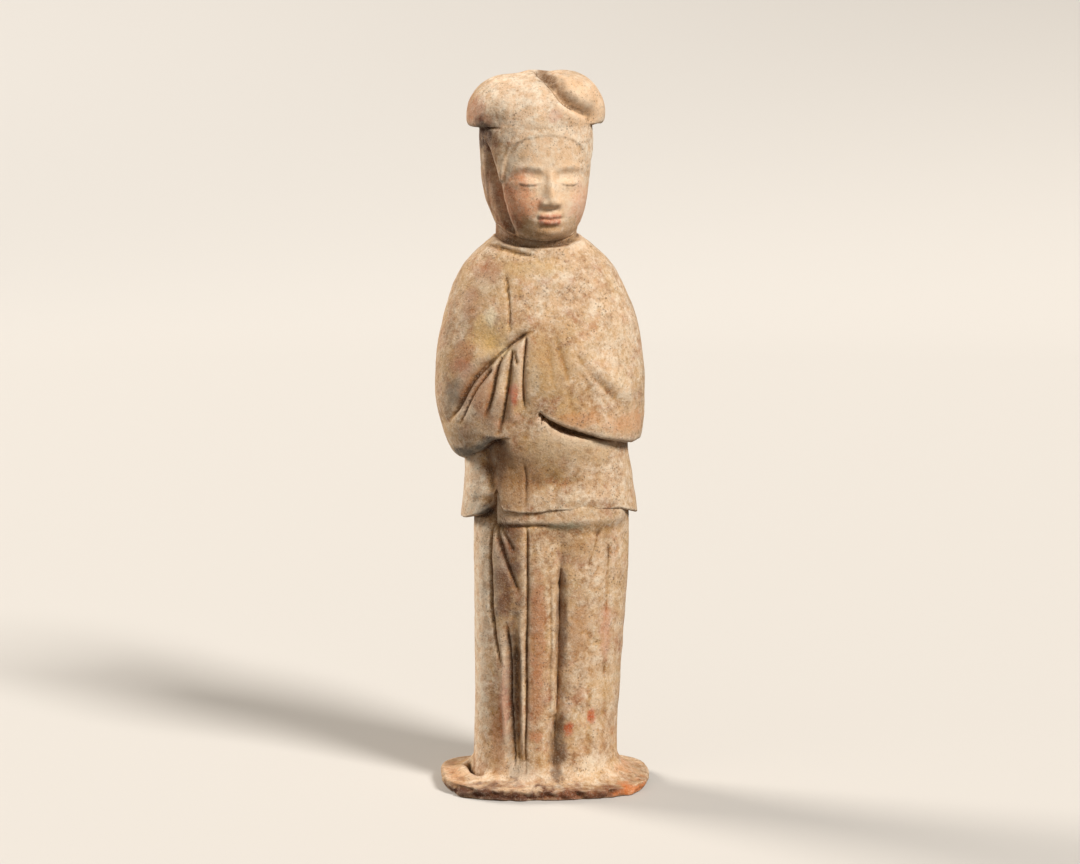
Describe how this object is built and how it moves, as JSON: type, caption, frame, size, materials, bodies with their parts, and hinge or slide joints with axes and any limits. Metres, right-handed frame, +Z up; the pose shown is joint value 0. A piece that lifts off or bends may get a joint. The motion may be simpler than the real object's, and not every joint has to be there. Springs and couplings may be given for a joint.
{
  "type": "terracotta court lady figure",
  "caption": "Standing court lady of moulded terracotta with hands joined inside wide sleeves and hair in two rolls, on a thin slab.",
  "frame": {"origin": "under the middle of the figure's box, on the slab's underside", "axes": "+Z up along the figure's height; she faces -Y and her left side is +X"},
  "size_m": [0.1138, 0.0844, 0.3787],
  "materials": {
    "terracotta": "unglazed fired clay under a worn pale slip, dry and matt"
  },
  "bodies": {
    "root": {"court_lady": "terracotta"}
  },
  "joints": []
}
